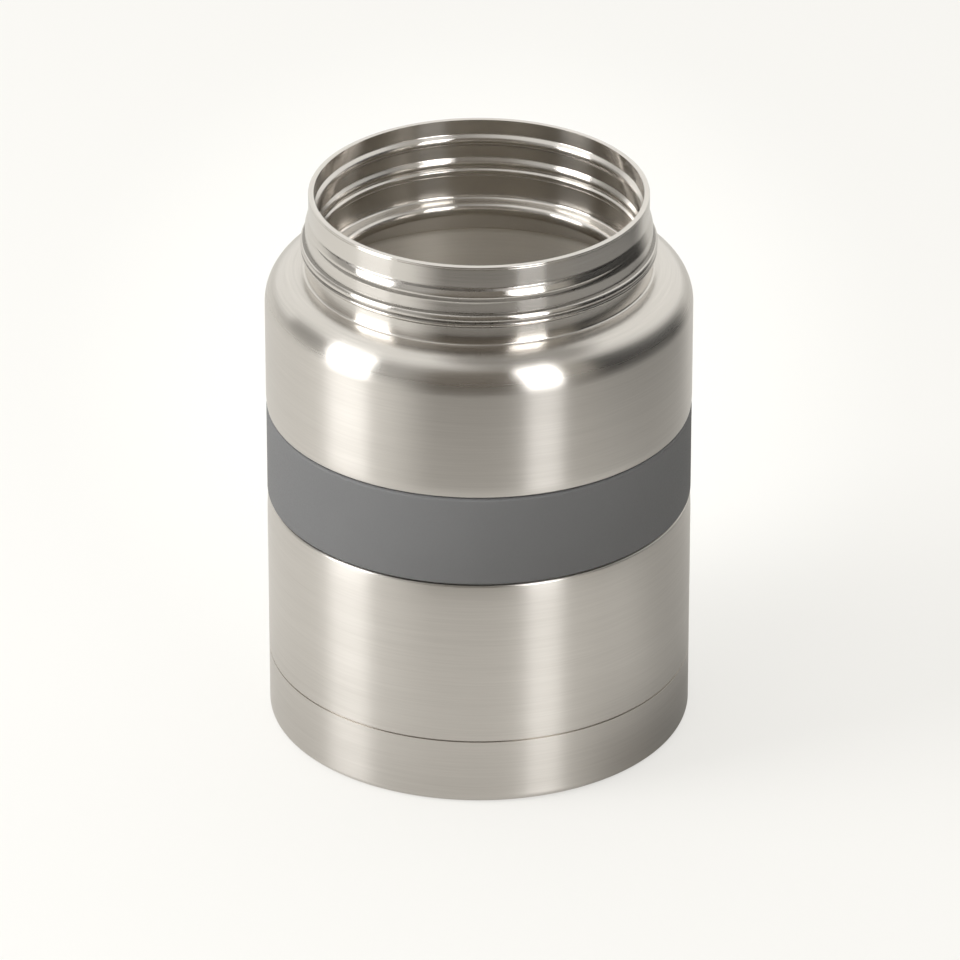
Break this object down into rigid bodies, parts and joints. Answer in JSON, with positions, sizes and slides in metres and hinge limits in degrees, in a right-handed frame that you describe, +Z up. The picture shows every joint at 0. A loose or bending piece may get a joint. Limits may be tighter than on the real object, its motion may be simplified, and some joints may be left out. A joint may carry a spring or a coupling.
{
  "type": "insulated food jar",
  "caption": "Double-walled steel food jar, lid off: brushed round body with a rolled shoulder, threaded neck, polished inner vessel, silicone grip band and base cap.",
  "frame": {"origin": "centre of the foot, on the surface that the jar stands on", "axes": "+Z up along the jar's axis, -Y is the front seen in the picture, +X to its right"},
  "size_m": [0.0952, 0.0952, 0.1283],
  "materials": {
    "shell_steel": "brushed round the body, polished on the neck",
    "cap_steel": "brushed round the cap",
    "liner_steel": "polished",
    "inner_steel": "mill",
    "copper_foil": "bright foil",
    "getter_alloy": "pressed powder",
    "solder_glass": "fused",
    "glue": "cured film",
    "grip_silicone": "matt"
  },
  "bodies": {
    "root": {"outer_shell": "shell_steel", "liner_wall": "liner_steel", "liner_bottom": "liner_steel", "foil_wrap": "copper_foil", "foil_disc": "copper_foil", "getter_clip": "inner_steel", "getter_pellet": "getter_alloy", "vacuum_bottom": "inner_steel", "seal_bead": "solder_glass", "base_glue": "glue", "base_cap": "cap_steel", "grip_band": "grip_silicone"}
  },
  "joints": []
}
